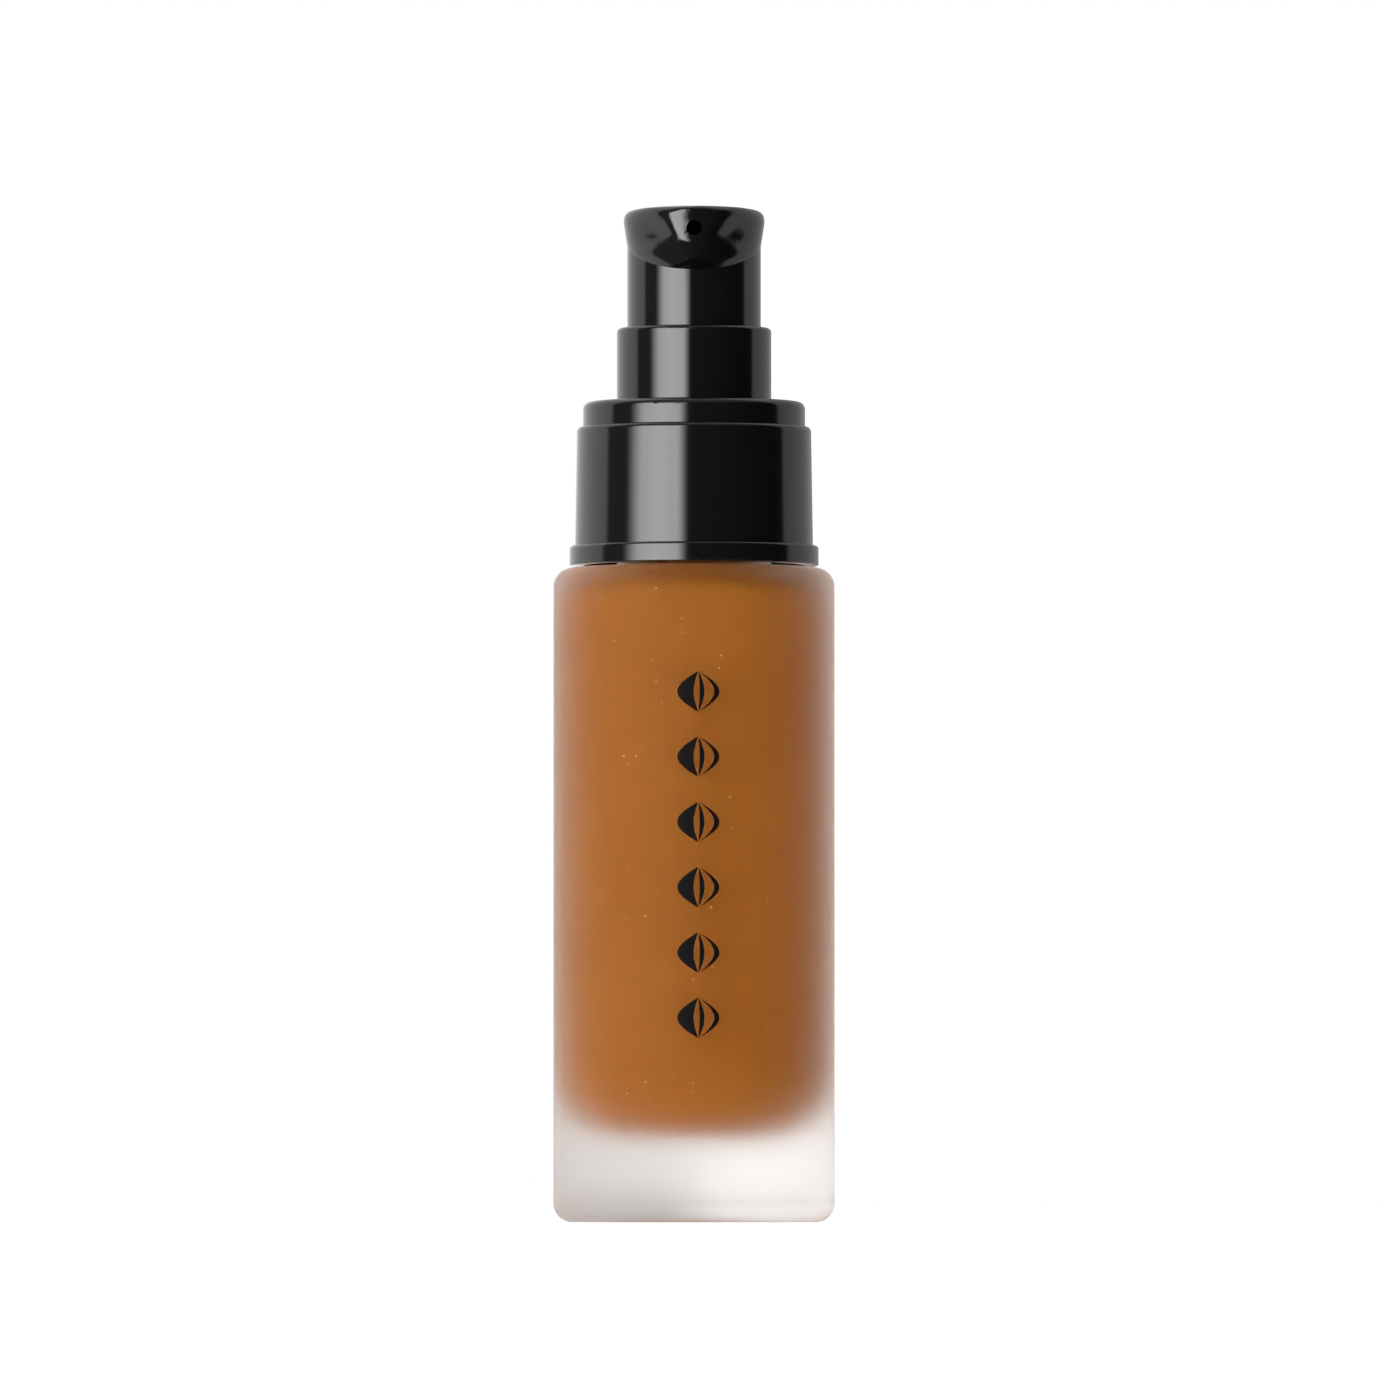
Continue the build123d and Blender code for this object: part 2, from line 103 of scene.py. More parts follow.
def linear(hex_code):
    """An sRGB colour such as "#a76630" as the linear RGBA that a shader takes."""
    channels = [int(hex_code[at:at + 2], 16) / 255 for at in (1, 3, 5)]
    return [c / 12.92 if c <= 0.04045 else ((c + 0.055) / 1.055) ** 2.4 for c in channels] + [1.0]


def add(tree, kind, inputs=(), **settings):
    """Adds one node. Inputs map a socket's name or number to a value, or to the socket that feeds it."""
    node = tree.nodes.new(kind)
    for name, value in settings.items():
        setattr(node, name, value)
    for socket, value in dict(inputs).items():
        if isinstance(value, bpy.types.NodeSocket):
            tree.links.new(value, node.inputs[socket])
        else:
            node.inputs[socket].default_value = value
    return node


def set_ramp(ramp, stops):
    """Puts (position, colour or grey) stops on a colour ramp."""
    while len(ramp.elements) > 1:
        ramp.elements.remove(ramp.elements[-1])
    for index, (position, colour) in enumerate(stops):
        stop = ramp.elements[0] if index == 0 else ramp.elements.new(position)
        stop.position = position
        stop.color = colour if isinstance(colour, list) else [colour] * 3 + [1.0]


def new_material(name):
    """An empty node material with its output: (material, tree, output)."""
    material = bpy.data.materials.new(name)
    material.use_nodes = True
    material.node_tree.nodes.clear()
    output = material.node_tree.nodes.new("ShaderNodeOutputMaterial")
    return material, material.node_tree, output


def ramp_over(tree, value, low, high, stops):
    """A smooth ramp of (place, amount) stops read at a value that runs from low to high."""
    place = add(tree, "ShaderNodeMapRange", {"Value": value, "From Min": low, "From Max": high})
    ramp = add(tree, "ShaderNodeValToRGB", {0: place.outputs[0]})
    ramp.color_ramp.interpolation = "EASE"
    set_ramp(ramp.color_ramp, [((at - low) / (high - low), amount) for at, amount in stops])
    return ramp.outputs["Color"]


def build_studio_world():
    """White all round for the camera; for every other ray the light of the studio by its direction."""
    world = bpy.data.worlds.new("studio")
    bpy.context.scene.world = world
    world.use_nodes = True
    tree = world.node_tree
    tree.nodes.clear()
    where = add(tree, "ShaderNodeTexCoord")
    way = add(tree, "ShaderNodeSeparateXYZ", {0: where.outputs["Generated"]})
    toward = add(tree, "ShaderNodeMath", {0: way.outputs["Y"], 1: -1.0}, operation="MULTIPLY")
    turn = add(tree, "ShaderNodeMath", {0: way.outputs["X"], 1: toward.outputs[0]}, operation="ARCTAN2")
    degrees = add(tree, "ShaderNodeMath", {0: turn.outputs[0]}, operation="DEGREES")
    surround_stops = [(at, amount / SURROUND_MOST) for at, amount in SURROUND]
    around = ramp_over(tree, degrees.outputs[0], -180, 180, surround_stops)
    surround = add(tree, "ShaderNodeMath", {0: around, 1: SURROUND_MOST}, operation="MULTIPLY")
    across = ramp_over(tree, degrees.outputs[0], -180, 180, STRIP)
    upward = ramp_over(tree, way.outputs["Z"], -1.0, 1.0, STRIP_HEIGHT)
    strip_shape = add(tree, "ShaderNodeMath", {0: across, 1: upward}, operation="MULTIPLY")
    path = add(tree, "ShaderNodeLightPath")
    strip_power = add(
        tree, "ShaderNodeMapRange",
        {
            "Value": path.outputs["Is Transmission Ray"],
            "To Min": STRIP_RADIANCE, "To Max": STRIP_RADIANCE * STRIP_THROUGH_GLASS,
        },
    )
    strip = add(
        tree, "ShaderNodeMath",
        {0: strip_shape.outputs[0], 1: strip_power.outputs[0], 2: surround.outputs[0]},
        operation="MULTIPLY_ADD",
    )
    above = add(
        tree, "ShaderNodeMapRange",
        {"Value": way.outputs["Z"], "From Min": OVERHEAD_FROM, "To Max": OVERHEAD},
        interpolation_type="SMOOTHSTEP",
    )
    total = add(tree, "ShaderNodeMath", {0: strip.outputs[0], 1: above.outputs[0]}, operation="ADD")
    white = linear("#ffffff")
    lit = add(tree, "ShaderNodeBackground", {"Color": white, "Strength": total.outputs[0]})
    seen = add(tree, "ShaderNodeBackground", {"Color": white, "Strength": WHITE_SURROUND})
    mixed = add(
        tree, "ShaderNodeMixShader",
        {0: path.outputs["Is Camera Ray"], 1: lit.outputs[0], 2: seen.outputs[0]},
    )
    add(tree, "ShaderNodeOutputWorld", {"Surface": mixed.outputs[0]})


def build_floor():
    mesh = bpy.data.meshes.new("floor")
    half = FLOOR_SIZE / 2
    corners = [(-half, -half, 0), (half, -half, 0), (half, half, 0), (-half, half, 0)]
    mesh.from_pydata(corners, [], [(0, 1, 2, 3)])
    floor = bpy.data.objects.new("floor", mesh)
    bpy.context.scene.collection.objects.link(floor)
    material, tree, output = new_material("matt_white_paper")
    shader = add(
        tree, "ShaderNodeBsdfPrincipled",
        {
            "Base Color": linear(FLOOR_COLOUR), "Roughness": 0.9, "Specular IOR Level": 0.0,
            "Emission Color": linear(FLOOR_COLOUR), "Emission Strength": FLOOR_GLOW,
        },
    )
    tree.links.new(shader.outputs[0], output.inputs["Surface"])
    mesh.materials.append(material)
    floor.visible_glossy = False


build_studio_world()
build_floor()
bpy.context.scene.view_settings.view_transform = "Standard"


# ---------------------------------------------------------------------------
# Foundation: a water-in-silicone emulsion heavy with iron oxide pigment. It wets
# the inside of the glass, fills it into the neck and stands clear of the pump.
# ---------------------------------------------------------------------------

FOUNDATION_COLOUR = "#b16c26"
FOUNDATION_DEEP = "#ac6723"
CLOUD_SIZE = 14 * MM
WETTING = 0.06 * MM
FLOOR_CORNER = 8.2 * MM
TOP_CORNER = 3.0 * MM
SHOULDER_THICKNESS = 1.3 * MM
SHOULDER_HEIGHT = 76.8 * MM
NECK_BORE = 6.2 * MM
BARREL_RADIUS = 5.4 * MM
BARREL_FOOT = 64.7 * MM
SOCKET_FOOT = 54.5 * MM
PUMP_CLEARANCE = 0.3 * MM
LATHE_STEPS = 192
ARC_STEPS = 36


def rounded(corners):
    """An outline of (radius, height) points from corners, each rounded by its own fillet radius."""
    outline = []
    for index, (r, z, fillet) in enumerate(corners):
        here = Vector((r, z))
        if fillet == 0:
            outline.append(here)
            continue
        before = (Vector(corners[index - 1][:2]) - here).normalized()
        after = (Vector(corners[(index + 1) % len(corners)][:2]) - here).normalized()
        half_angle = before.angle(after) / 2
        start = here + before * (fillet / math.tan(half_angle))
        end = here + after * (fillet / math.tan(half_angle))
        centre = here + (before + after).normalized() * (fillet / math.sin(half_angle))
        for step in range(ARC_STEPS + 1):
            spoke = (start - centre).slerp(end - centre, step / ARC_STEPS)
            outline.append(centre + spoke.normalized() * fillet)
    return outline


def lathe(name, corners, material):
    """A closed solid turned about the vertical axis from a closed outline."""
    work = bmesh.new()
    rings = []
    for point in rounded(corners):
        if point.x < 0.001 * MM:
            rings.append([work.verts.new((0, 0, point.y))])
            continue
        ring = []
        for step in range(LATHE_STEPS):
            turn = 2 * math.pi * step / LATHE_STEPS
            ring.append(work.verts.new((point.x * math.cos(turn), point.x * math.sin(turn), point.y)))
        rings.append(ring)
    for ring, other in zip(rings, rings[1:] + rings[:1]):
        if len(ring) == 1 and len(other) == 1:
            continue
        for step in range(LATHE_STEPS):
            ahead = (step + 1) % LATHE_STEPS
            near_side = [ring[0]] if len(ring) == 1 else [ring[step], ring[ahead]]
            far_side = [other[0]] if len(other) == 1 else [other[ahead], other[step]]
            work.faces.new(near_side + far_side)
    bmesh.ops.recalc_face_normals(work, faces=work.faces)
    mesh = bpy.data.meshes.new(name)
    work.to_mesh(mesh)
    work.free()
    mesh.shade_smooth()
    mesh.materials.append(material)
    piece = bpy.data.objects.new(name, mesh)
    bpy.context.scene.collection.objects.link(piece)
    return piece


def foundation_emulsion():
    """Opaque warm brown that scatters a little light under its skin, with faint clouds from the filling."""
    material, tree, output = new_material("foundation_emulsion")
    where = add(tree, "ShaderNodeTexCoord")
    clouds = add(
        tree, "ShaderNodeTexNoise",
        {"Vector": where.outputs["Object"], "Scale": 1 / CLOUD_SIZE, "Detail": 3.0, "Roughness": 0.5},
    )
    colour = add(tree, "ShaderNodeValToRGB", {0: clouds.outputs["Fac"]})
    set_ramp(colour.color_ramp, [(0.35, linear(FOUNDATION_DEEP)), (0.65, linear(FOUNDATION_COLOUR))])
    sheen = add(
        tree, "ShaderNodeMapRange", {"Value": clouds.outputs["Fac"], "To Min": 0.40, "To Max": 0.55},
    )
    shader = add(
        tree, "ShaderNodeBsdfPrincipled",
        {
            "Base Color": colour.outputs["Color"], "Roughness": sheen.outputs[0], "Specular IOR Level": 0.05,
            "Subsurface Weight": 0.15, "Subsurface Radius": (1.0, 0.35, 0.12), "Subsurface Scale": 0.8 * MM,
        },
    )
    tree.links.new(shader.outputs[0], output.inputs["Surface"])
    return material


fill_low, fill_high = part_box("foundation_fill")
tube_low, tube_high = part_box("dip_tube")
fill_r = fill_high.x + WETTING
fill_floor = fill_low.z - WETTING
cavity_top = SHOULDER_HEIGHT - SHOULDER_THICKNESS + WETTING
tube_room = tube_high.x + PUMP_CLEARANCE
foundation = lathe(
    "foundation",
    [
        (0, fill_floor, 0),
        (fill_r, fill_floor, FLOOR_CORNER),
        (fill_r, cavity_top, TOP_CORNER),
        (NECK_BORE, cavity_top, 0),
        (NECK_BORE, fill_high.z, 0),
        (BARREL_RADIUS + PUMP_CLEARANCE, fill_high.z, 0),
        (BARREL_RADIUS + PUMP_CLEARANCE, BARREL_FOOT - PUMP_CLEARANCE, 0),
        (tube_room, SOCKET_FOOT - PUMP_CLEARANCE, 0),
        (tube_room, tube_low.z - PUMP_CLEARANCE, 0),
        (0, tube_low.z - PUMP_CLEARANCE, 0),
    ],
    foundation_emulsion(),
)
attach(foundation, "bottle")
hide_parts("foundation_fill")


# ---------------------------------------------------------------------------
# Bottle: pressed soda-lime glass, frosted all over outside in an acid bath. The
# bath leaves a satin skin of fine pits; a few pale dots on it are painted glints.
# ---------------------------------------------------------------------------

# Real pits are a few hundredths of a millimetre across; these are drawn coarse enough to show.
FROST_GRAIN = 0.25 * MM
# Spacing, size, share and strength of the painted glints: pale warm dots mixed into the glass's surface.
SPARKLE_SPACING = 1.1 * MM
SPARKLE_SIZE = 0.075
SPARKLE_SHARE = 0.55
SPARKLE_STRENGTH = 0.35
# Settings for looks: how far the glass's own reflection is held back, and the dust of light on its edges.
GLASS_REFLECTION = "#505050"
GLASS_SHEEN = 0.12
SATIN = (0.54, 0.62)


def dress(material, *names):
    """Gives CAD nodes a material in place of the plain one that they are packed with."""
    for name in names:
        nodes[name].data.materials.clear()
        nodes[name].data.materials.append(material)


def frosted_glass():
    """Rough refraction that blurs what lies behind, little gloss of its own, and sparse pale dots of painted
    glint.
    """
    material, tree, output = new_material("acid_frosted_soda_lime_glass")
    where = add(tree, "ShaderNodeTexCoord")
    grain = add(
        tree, "ShaderNodeTexNoise",
        {"Vector": where.outputs["Object"], "Scale": 1 / FROST_GRAIN, "Detail": 2.0},
    )
    satin = add(
        tree, "ShaderNodeMapRange", {"Value": grain.outputs["Fac"], "To Min": SATIN[0], "To Max": SATIN[1]},
    )
    pits = add(
        tree, "ShaderNodeBump", {"Height": grain.outputs["Fac"], "Strength": 0.06, "Distance": 0.02 * MM},
    )
    glass = add(
        tree, "ShaderNodeBsdfPrincipled",
        {
            "Base Color": linear("#fbfbfa"), "Roughness": satin.outputs[0], "IOR": 1.5,
            "Specular Tint": linear(GLASS_REFLECTION), "Transmission Weight": 1.0,
            "Sheen Weight": GLASS_SHEEN, "Sheen Roughness": 0.25, "Normal": pits.outputs[0],
        },
    )
    # Painted glints: a pale warm diffuse shader mixed in at sparse dots, standing in for specks of light.
    cells = add(
        tree, "ShaderNodeTexVoronoi", {"Vector": where.outputs["Object"], "Scale": 1 / SPARKLE_SPACING},
    )
    dot = add(
        tree, "ShaderNodeMath", {0: cells.outputs["Distance"], 1: SPARKLE_SIZE}, operation="LESS_THAN",
    )
    draw = add(tree, "ShaderNodeSeparateColor", {0: cells.outputs["Color"]})
    rare = add(tree, "ShaderNodeMath", {0: draw.outputs[0], 1: SPARKLE_SHARE}, operation="GREATER_THAN")
    sparkle = add(tree, "ShaderNodeMath", {0: dot.outputs[0], 1: rare.outputs[0]}, operation="MULTIPLY")
    share = add(tree, "ShaderNodeMath", {0: sparkle.outputs[0], 1: SPARKLE_STRENGTH}, operation="MULTIPLY")
    painted_glint_shader = add(
        tree, "ShaderNodeBsdfPrincipled", {"Base Color": linear("#ffe2b8"), "Roughness": 0.3},
    )
    skin = add(
        tree, "ShaderNodeMixShader", {0: share.outputs[0], 1: glass.outputs[0], 2: painted_glint_shader.outputs[0]},
    )
    tree.links.new(skin.outputs[0], output.inputs["Surface"])
    return material


dress(frosted_glass(), "glass_bottle")


# ---------------------------------------------------------------------------
# Printed ornament: a column of six lens-shaped leaves in black ceramic ink, each
# with a thick and a thin edge round its vein, screened on the glass and fired.
# ---------------------------------------------------------------------------

INK_THICK = 0.03 * MM
INK_SINK = 0.01 * MM
INK_PEEL = 0.2 * MM
LEAF_COUNT = 6
LEAF_WIDTH = 4.9 * MM
LEAF_HEIGHT = 4.8 * MM
LEAF_PITCH = 7.6 * MM
# The thick edge, the vein and the thin edge, each as (left side, width) where the leaf is widest.
LEAF_STROKES = ((-2.45 * MM, 1.9 * MM), (0.15 * MM, 0.55 * MM), (1.85 * MM, 0.6 * MM))
LEAF_TIP = 0.02
ORNAMENT_CENTRE = 0.5 * MM
ORNAMENT_FOOT = 21.4 * MM


def geometry_tree(name, sockets):
    """An empty Geometry Nodes tree with named inputs: (tree, input node, output node)."""
    tree = bpy.data.node_groups.new(name, "GeometryNodeTree")
    for socket_name, kind in sockets:
        tree.interface.new_socket(socket_name, in_out="INPUT", socket_type="NodeSocket" + kind)
    tree.interface.new_socket("Geometry", in_out="OUTPUT", socket_type="NodeSocketGeometry")
    return tree, tree.nodes.new("NodeGroupInput"), tree.nodes.new("NodeGroupOutput")


def grown(name, tree, values):
    """A plain mesh piece from a tree, its named inputs set by their identifiers."""
    seed = bpy.data.objects.new(name + "_seed", bpy.data.meshes.new(name + "_seed"))
    bpy.context.scene.collection.objects.link(seed)
    modifier = seed.modifiers.new(name, "NODES")
    modifier.node_group = tree
    for item in tree.interface.items_tree:
        if item.in_out == "INPUT":
            modifier[item.identifier] = values[item.name]
    bpy.context.view_layer.update()
    evaluated = seed.evaluated_get(bpy.context.evaluated_depsgraph_get())
    mesh = bpy.data.meshes.new_from_object(evaluated)
    mesh.name = name
    bpy.data.objects.remove(seed)
    piece = bpy.data.objects.new(name, mesh)
    bpy.context.scene.collection.objects.link(piece)
    return piece


def math_node(tree, operation, *values):
    """The result of one sum in a tree."""
    return add(tree, "ShaderNodeMath", dict(enumerate(values)), operation=operation).outputs[0]


def leaf_stroke(tree, given, start, width):
    """One stroke of a leaf: a strip that swells in the middle and closes to a point at each end."""
    strip = add(
        tree, "GeometryNodeMeshGrid", {"Size X": 1.0, "Size Y": 1.0, "Vertices X": 4, "Vertices Y": 33},
    )
    place = add(tree, "ShaderNodeSeparateXYZ", {0: add(tree, "GeometryNodeInputPosition").outputs[0]})
    across = math_node(tree, "ADD", place.outputs["X"], 0.5)
    along = math_node(tree, "MULTIPLY_ADD", place.outputs["Y"], 1 - 2 * LEAF_TIP, 0.5)
    swell = math_node(tree, "SINE", math_node(tree, "MULTIPLY", along, math.pi))
    offset = math_node(tree, "MULTIPLY_ADD", across, width, start)
    shaped = add(
        tree, "ShaderNodeCombineXYZ",
        {
            "X": math_node(tree, "MULTIPLY", offset, swell),
            "Z": math_node(tree, "MULTIPLY", along, given.outputs["Leaf Height"]),
        },
    )
    moved = add(
        tree, "GeometryNodeSetPosition", {"Geometry": strip.outputs["Mesh"], "Position": shaped.outputs[0]},
    )
    return moved.outputs[0]


def ornament_tree():
    """A leaf of three strokes, repeated up a column, wrapped round the glass and given its thickness."""
    tree, given, result = geometry_tree(
        "printed_ornament",
        (
            ("Leaves", "Int"), ("Leaf Height", "Float"), ("Pitch", "Float"), ("Glass Radius", "Float"),
            ("Centre", "Float"), ("Foot", "Float"), ("Ink Thickness", "Float"), ("Ink", "Material"),
        ),
    )
    leaf = add(tree, "GeometryNodeJoinGeometry")
    for start, width in LEAF_STROKES:
        tree.links.new(leaf_stroke(tree, given, start, width), leaf.inputs[0])
    step = add(tree, "ShaderNodeCombineXYZ", {"Z": given.outputs["Pitch"]})
    column = add(
        tree, "GeometryNodeMeshLine", {"Count": given.outputs["Leaves"], "Offset": step.outputs[0]},
    )
    leaves = add(
        tree, "GeometryNodeInstanceOnPoints", {"Points": column.outputs[0], "Instance": leaf.outputs[0]},
    )
    flat = add(tree, "GeometryNodeRealizeInstances", {0: leaves.outputs[0]})
    place = add(tree, "ShaderNodeSeparateXYZ", {0: add(tree, "GeometryNodeInputPosition").outputs[0]})
    aside = math_node(tree, "ADD", place.outputs["X"], given.outputs["Centre"])
    turn = math_node(tree, "DIVIDE", aside, given.outputs["Glass Radius"])
    right = math_node(tree, "MULTIPLY", math_node(tree, "SINE", turn), given.outputs["Glass Radius"])
    back = math_node(tree, "MULTIPLY", math_node(tree, "COSINE", turn), given.outputs["Glass Radius"])
    wrapped = add(
        tree, "ShaderNodeCombineXYZ",
        {
            "X": right,
            "Y": math_node(tree, "MULTIPLY", back, -1.0),
            "Z": math_node(tree, "ADD", place.outputs["Z"], given.outputs["Foot"]),
        },
    )
    film = add(
        tree, "GeometryNodeSetPosition", {"Geometry": flat.outputs[0], "Position": wrapped.outputs[0]},
    )
    raised = add(
        tree, "GeometryNodeExtrudeMesh",
        {"Mesh": film.outputs[0], "Offset Scale": given.outputs["Ink Thickness"], "Individual": False},
    )
    underside = add(tree, "GeometryNodeFlipFaces", {"Mesh": film.outputs[0]})
    closed = add(tree, "GeometryNodeJoinGeometry")
    tree.links.new(raised.outputs["Mesh"], closed.inputs[0])
    tree.links.new(underside.outputs[0], closed.inputs[0])
    welded = add(tree, "GeometryNodeMergeByDistance", {"Geometry": closed.outputs[0], "Distance": 0.001 * MM})
    realized = add(tree, "GeometryNodeRealizeInstances", {0: welded.outputs[0]})
    inked = add(
        tree, "GeometryNodeSetMaterial", {"Geometry": realized.outputs[0], "Material": given.outputs["Ink"]},
    )
    tree.links.new(inked.outputs[0], result.inputs[0])
    return tree


def fired_ink():
    """Dense black enamel ink with the faint orange-peel of the screen, a little less glossy than plastic."""
    material, tree, output = new_material("fired_black_ceramic_ink")
    where = add(tree, "ShaderNodeTexCoord")
    peel = add(tree, "ShaderNodeTexNoise", {"Vector": where.outputs["Object"], "Scale": 1 / INK_PEEL})
    bump = add(
        tree, "ShaderNodeBump", {"Height": peel.outputs["Fac"], "Strength": 0.15, "Distance": 0.01 * MM},
    )
    tone = add(tree, "ShaderNodeValToRGB", {0: peel.outputs["Fac"]})
    set_ramp(tone.color_ramp, [(0.3, linear("#080706")), (0.7, linear("#0e0c0a"))])
    shader = add(
        tree, "ShaderNodeBsdfPrincipled",
        {
            "Base Color": tone.outputs["Color"], "Roughness": 0.5, "Specular IOR Level": 0.06,
            "Normal": bump.outputs[0],
        },
    )
    tree.links.new(shader.outputs[0], output.inputs["Surface"])
    return material


_, glass_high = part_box("glass_bottle")
ornament = grown(
    "printed_ornament",
    ornament_tree(),
    {
        "Leaves": LEAF_COUNT, "Leaf Height": LEAF_HEIGHT, "Pitch": LEAF_PITCH,
        "Glass Radius": glass_high.x - INK_SINK, "Centre": ORNAMENT_CENTRE, "Foot": ORNAMENT_FOOT,
        "Ink Thickness": INK_THICK + INK_SINK, "Ink": fired_ink(),
    },
)
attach(ornament, "bottle")


# ---------------------------------------------------------------------------
# Pump engine: barrel, stem guide and the two-piece stem, injection moulded in
# natural polypropylene, which is milky and lets some light through.
# ---------------------------------------------------------------------------

MOULD_TEXTURE = 0.4 * MM


def moulded_plastic(name, low, high, roughness, milkiness):
    """Moulded plastic: the fine texture of the mould in its gloss and relief, and light that soaks in."""
    material, tree, output = new_material(name)
    where = add(tree, "ShaderNodeTexCoord")
    texture = add(
        tree, "ShaderNodeTexNoise",
        {"Vector": where.outputs["Object"], "Scale": 1 / MOULD_TEXTURE, "Detail": 3.0},
    )
    tone = add(tree, "ShaderNodeValToRGB", {0: texture.outputs["Fac"]})
    set_ramp(tone.color_ramp, [(0.3, linear(low)), (0.7, linear(high))])
    gloss = add(
        tree, "ShaderNodeMapRange",
        {"Value": texture.outputs["Fac"], "To Min": roughness - 0.04, "To Max": roughness + 0.04},
    )
    bump = add(
        tree, "ShaderNodeBump", {"Height": texture.outputs["Fac"], "Strength": 0.1, "Distance": 0.02 * MM},
    )
    shader = add(
        tree, "ShaderNodeBsdfPrincipled",
        {
            "Base Color": tone.outputs["Color"], "Roughness": gloss.outputs[0], "IOR": 1.49,
            "Subsurface Weight": milkiness, "Subsurface Radius": (1.0, 0.95, 0.85),
            "Subsurface Scale": 1.5 * MM, "Normal": bump.outputs[0],
        },
    )
    tree.links.new(shader.outputs[0], output.inputs["Surface"])
    return material


dress(
    moulded_plastic("natural_polypropylene", "#d6d4cb", "#e2e0d8", 0.34, 0.6),
    "pump_body", "stem_guide", "stem_upper", "stem_lower",
)


# ---------------------------------------------------------------------------
# Piston: soft white low-density polyethylene, waxy to the eye, with thin lips
# that wipe the barrel.
# ---------------------------------------------------------------------------

dress(moulded_plastic("white_low_density_polyethylene", "#ecebe6", "#f4f3ef", 0.46, 0.4), "piston")


# ---------------------------------------------------------------------------
# Neck gasket: a washer die-cut from expanded polyethylene foam sheet, with fine
# closed cells and a dry, matt face.
# ---------------------------------------------------------------------------

FOAM_CELL = 0.28 * MM


def polyethylene_foam():
    """Off-white foam: each cell a shallow dimple, darker at the walls between cells."""
    material, tree, output = new_material("expanded_polyethylene_foam")
    where = add(tree, "ShaderNodeTexCoord")
    cells = add(tree, "ShaderNodeTexVoronoi", {"Vector": where.outputs["Object"], "Scale": 1 / FOAM_CELL})
    tone = add(tree, "ShaderNodeValToRGB", {0: cells.outputs["Distance"]})
    set_ramp(tone.color_ramp, [(0.1, linear("#efede7")), (0.8, linear("#d8d5cd"))])
    bump = add(
        tree, "ShaderNodeBump", {"Height": cells.outputs["Distance"], "Strength": 0.5, "Distance": 0.05 * MM},
    )
    shader = add(
        tree, "ShaderNodeBsdfPrincipled",
        {"Base Color": tone.outputs["Color"], "Roughness": 0.85, "Normal": bump.outputs[0]},
    )
    tree.links.new(shader.outputs[0], output.inputs["Surface"])
    return material


dress(polyethylene_foam(), "neck_gasket")


# ---------------------------------------------------------------------------
# Dip tube: extruded natural low-density polyethylene, cloudy and half clear,
# with the fine lengthwise lines that the die leaves.
# ---------------------------------------------------------------------------

DIE_LINE = 0.15 * MM
DIE_STREAK = 20 * MM


def extruded_tube():
    """Cloudy tube whose gloss and relief run in lines along it."""
    material, tree, output = new_material("extruded_low_density_polyethylene")
    where = add(tree, "ShaderNodeTexCoord")
    drawn = add(
        tree, "ShaderNodeMapping",
        {"Vector": where.outputs["Object"], "Scale": (1 / DIE_LINE, 1 / DIE_LINE, 1 / DIE_STREAK)},
    )
    lines = add(tree, "ShaderNodeTexNoise", {"Vector": drawn.outputs[0], "Scale": 1.0, "Detail": 2.0})
    gloss = add(tree, "ShaderNodeMapRange", {"Value": lines.outputs["Fac"], "To Min": 0.25, "To Max": 0.40})
    bump = add(
        tree, "ShaderNodeBump", {"Height": lines.outputs["Fac"], "Strength": 0.2, "Distance": 0.02 * MM},
    )
    shader = add(
        tree, "ShaderNodeBsdfPrincipled",
        {
            "Base Color": linear("#e9ebe8"), "Roughness": gloss.outputs[0], "IOR": 1.51,
            "Transmission Weight": 0.55, "Subsurface Weight": 0.3, "Subsurface Scale": 1.0 * MM,
            "Normal": bump.outputs[0],
        },
    )
    tree.links.new(shader.outputs[0], output.inputs["Surface"])
    return material


dress(extruded_tube(), "dip_tube")


# ---------------------------------------------------------------------------
# Return spring and inlet ball: stainless steel. The spring is cold drawn wire
# with a closed coil at each end; the ball is ground and tumbled bright.
# ---------------------------------------------------------------------------

WIRE_RADIUS = 0.3 * MM
SPRING_COILS = 8
STEPS_PER_COIL = 48
WIRE_SIDES = 14
GRIND_SCRATCH = 0.08 * MM


